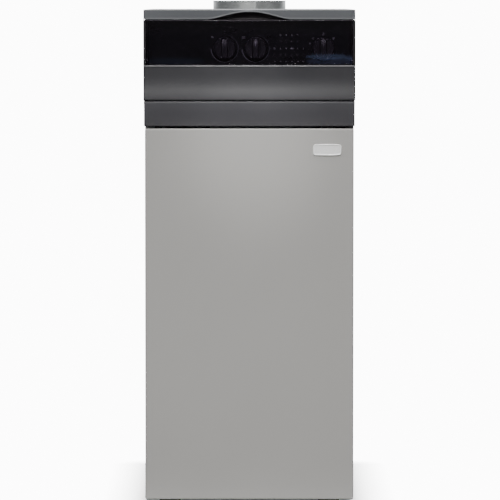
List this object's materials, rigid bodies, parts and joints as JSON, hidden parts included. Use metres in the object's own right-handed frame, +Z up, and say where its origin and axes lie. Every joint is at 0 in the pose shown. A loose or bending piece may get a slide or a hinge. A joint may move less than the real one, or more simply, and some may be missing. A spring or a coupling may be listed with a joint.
{
  "type": "floor standing gas boiler",
  "caption": "Slim floor standing gas boiler with a rear flue collar, smoked control flap, round knobs, a hinged front door and a cast-iron body on an atmospheric burner.",
  "frame": {"origin": "on the floor, under the middle of the whole boiler with its pipe stubs", "axes": "+Z up, the front door faces -Y, +X to the right of someone who stands in front of it"},
  "size_m": [0.357, 0.625, 0.85],
  "materials": {
    "door_paint": "satin light grey powder paint",
    "cover_paint": "satin dark grey powder paint",
    "fascia": "fine-grained graphite plastic",
    "smoked": "polished smoked acrylic",
    "plate": "semi-gloss black panel",
    "knob": "moulded black plastic",
    "lamp": "clear moulding",
    "housing": "plain black moulding",
    "board": "green laminate",
    "badge": "bare satin plate",
    "zinc": "galvanised sheet",
    "steel": "bright zinc-plated steel",
    "iron": "as cast",
    "insulation": "foil-faced mineral wool",
    "chamber": "heat-dulled sheet",
    "lining": "fibre board in a steel skin",
    "burner": "stainless steel",
    "white_ceramic": "glazed insulator",
    "valve": "die cast",
    "gas_paint": "yellow paint",
    "pipe": "dark steel pipe",
    "brass_fitting": "machined brass",
    "rubber_part": "black rubber",
    "lead_sheath": "black sheathed lead"
  },
  "bodies": {
    "casing": {"base_tray": "zinc", "boiler_section_1": "iron", "boiler_section_2": "iron", "boiler_section_3": "iron", "burner_front_plate": "chamber", "burner_tube_1": "burner", "burner_tube_2": "burner", "burner_tube_3": "burner", "combustion_chamber": "lining", "control_board": "board", "control_box": "zinc", "control_fascia": "fascia", "control_plate": "plate", "drain_cock": "brass_fitting", "draught_diverter": "zinc", "exchanger_stand": "zinc", "flow_pipe": "pipe", "flue_collar": "zinc", "foot_front_left": "rubber_part", "foot_front_right": "rubber_part", "foot_rear_left": "rubber_part", "foot_rear_right": "rubber_part", "front_crossbar": "zinc", "gas_inlet_pipe": "gas_paint", "gas_manifold": "steel", "gas_valve": "valve", "heating_potentiometer": "housing", "hot_water_potentiometer": "housing", "ignition_electrode": "white_ceramic", "ignition_lead": "lead_sheath", "insulation_jacket": "insulation", "lamp_light_guide": "lamp", "left_side_panel": "door_paint", "left_tie_rod": "steel", "lower_hinge_bracket": "zinc", "lower_magnet_catch": "housing", "lower_trim": "fascia", "mains_gland": "rubber_part", "rear_panel": "zinc", "return_pipe": "pipe", "right_side_panel": "door_paint", "right_tie_rod": "steel", "selector_switch": "housing", "sight_glass": "steel", "smoke_collector": "zinc", "top_cover": "cover_paint", "upper_hinge_bracket": "zinc", "upper_magnet_catch": "housing", "valve_lead": "lead_sheath"},
    "flap": {"control_flap": "smoked"},
    "hot_water_control": {"hot_water_knob": "knob", "hot_water_spindle": "steel"},
    "heating_control": {"heating_knob": "knob", "heating_spindle": "steel"},
    "selector_control": {"selector_knob": "knob", "selector_spindle": "steel"},
    "door": {"front_door": "door_paint", "door_insulation": "insulation", "door_badge": "badge"},
    "drain_handle": {"drain_knob": "knob"}
  },
  "joints": [
    {"name": "flap_hinge", "type": "hinge", "parent": "casing", "child": "flap", "pos_m": [0, -0.303, 0.7465], "axis": [1, 0, 0], "range_deg": [0, 90]},
    {"name": "hot_water_turn", "type": "hinge", "parent": "casing", "child": "hot_water_control", "pos_m": [-0.0416, -0.2801, 0.7691], "axis": [0, 1, 0], "range_deg": [0, 270]},
    {"name": "heating_turn", "type": "hinge", "parent": "casing", "child": "heating_control", "pos_m": [0.0106, -0.2801, 0.7691], "axis": [0, 1, 0], "range_deg": [0, 270]},
    {"name": "selector_turn", "type": "hinge", "parent": "casing", "child": "selector_control", "pos_m": [0.1246, -0.2801, 0.7691], "axis": [0, 1, 0], "range_deg": [-70, 45]},
    {"name": "door_hinge", "type": "hinge", "parent": "casing", "child": "door", "pos_m": [-0.1704, -0.2942, 0.32155], "axis": [0, 0, -1], "range_deg": [0, 100]},
    {"name": "drain_turn", "type": "hinge", "parent": "casing", "child": "drain_handle", "pos_m": [-0.092, -0.2591, 0.336], "axis": [0, 1, 0], "range_deg": [0, 90]}
  ]
}
